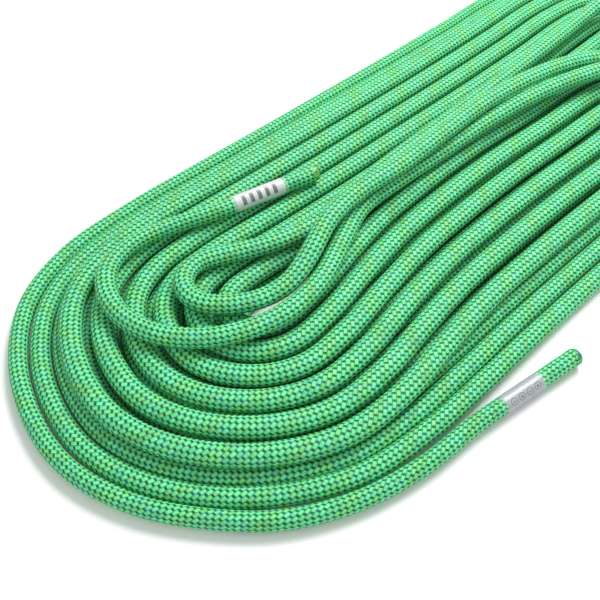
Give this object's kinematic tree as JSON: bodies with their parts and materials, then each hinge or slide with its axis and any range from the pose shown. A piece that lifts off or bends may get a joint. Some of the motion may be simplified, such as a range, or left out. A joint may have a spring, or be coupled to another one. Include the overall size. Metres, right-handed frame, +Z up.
{
  "type": "climbing rope hank",
  "caption": "Green braided climbing rope laid in an oval hank of stacked laps, with both labelled, fused ends free.",
  "frame": {"origin": "on the ground under the middle of the whole hank, free ends included", "axes": "+X along the hank away from the small eye, +Y towards the leg behind the eye, +Z up"},
  "size_m": [0.6022, 0.259, 0.0417],
  "materials": {
    "sheath_braid": "tight two-tone braid, mint green with teal and yellow-green flecks",
    "core_yarn": "undyed white twisted yarn",
    "marker_tape": "thin matte film strip",
    "label_film": "pale grey printed film",
    "clear_sleeve": "clear glossy shrink sleeve",
    "fused_tip_a": "melted fibre, dark teal green",
    "fused_tip_b": "melted fibre, yellowish green"
  },
  "bodies": {
    "coil": {"coil_ground_layer": "sheath_braid", "coil_middle_layer": "sheath_braid", "coil_top_layer": "sheath_braid"},
    "tail_a_link_1": {"tail_a_sheath_1": "sheath_braid", "tail_a_core_1": "core_yarn"},
    "tail_a_link_2": {"tail_a_sheath_2": "sheath_braid", "tail_a_core_2": "core_yarn"},
    "tail_a_link_3": {"tail_a_sheath_3": "sheath_braid", "tail_a_core_3": "core_yarn"},
    "tail_a_link_4": {"tail_a_sheath_4": "sheath_braid", "tail_a_core_4": "core_yarn"},
    "tail_a_link_5": {"tail_a_sheath_5": "sheath_braid", "tail_a_core_5": "core_yarn", "tail_a_marker_tape": "marker_tape", "tail_a_label": "label_film", "tail_a_sleeve": "clear_sleeve", "tail_a_tip": "fused_tip_a"},
    "tail_b_link_1": {"tail_b_sheath_1": "sheath_braid", "tail_b_core_1": "core_yarn"},
    "tail_b_link_2": {"tail_b_sheath_2": "sheath_braid", "tail_b_core_2": "core_yarn"},
    "tail_b_link_3": {"tail_b_sheath_3": "sheath_braid", "tail_b_core_3": "core_yarn", "tail_b_marker_tape": "marker_tape", "tail_b_label": "label_film", "tail_b_sleeve": "clear_sleeve", "tail_b_tip": "fused_tip_b"}
  },
  "joints": [
    {"name": "tail_a_swing", "type": "hinge", "parent": "coil", "child": "tail_a_link_1", "pos_m": [-0.26506, -0.06454, 0.0049], "axis": [0, 0, -1], "range_deg": [0, 12]},
    {"name": "tail_a_lift", "type": "hinge", "parent": "tail_a_link_1", "child": "tail_a_link_2", "pos_m": [-0.24106, -0.08804, 0.0049], "axis": [-0.4698, -0.8827, 0], "range_deg": [0, 15]},
    {"name": "tail_a_swing_2", "type": "hinge", "parent": "tail_a_link_2", "child": "tail_a_link_3", "pos_m": [-0.21006, -0.10454, 0.0049], "axis": [0, 0, -1], "range_deg": [0, 12]},
    {"name": "tail_a_lift_2", "type": "hinge", "parent": "tail_a_link_3", "child": "tail_a_link_4", "pos_m": [-0.17506, -0.11304, 0.0049], "axis": [-0.0656, -0.9978, 0], "range_deg": [0, 15]},
    {"name": "tail_a_swing_3", "type": "hinge", "parent": "tail_a_link_4", "child": "tail_a_link_5", "pos_m": [-0.13706, -0.11554, 0.0049], "axis": [0, 0, -1], "range_deg": [0, 12]},
    {"name": "tail_b_lift", "type": "hinge", "parent": "coil", "child": "tail_b_link_1", "pos_m": [-0.19506, 0.08146, 0.0249], "axis": [-0.1611, -0.9869, 0], "range_deg": [0, 14]},
    {"name": "tail_b_swing", "type": "hinge", "parent": "tail_b_link_1", "child": "tail_b_link_2", "pos_m": [-0.17056, 0.07746, 0.0249], "axis": [0, 0, 1], "range_deg": [0, 10]},
    {"name": "tail_b_lift_2", "type": "hinge", "parent": "tail_b_link_2", "child": "tail_b_link_3", "pos_m": [-0.14656, 0.06946, 0.0249], "axis": [-0.2223, -0.975, 0], "range_deg": [0, 14]}
  ],
  "couplings": [
    {"joint": "tail_a_swing_2", "follows": "tail_a_swing", "ratio": 1},
    {"joint": "tail_a_swing_3", "follows": "tail_a_swing", "ratio": 1},
    {"joint": "tail_a_lift_2", "follows": "tail_a_lift", "ratio": 1},
    {"joint": "tail_b_lift_2", "follows": "tail_b_lift", "ratio": 1}
  ]
}
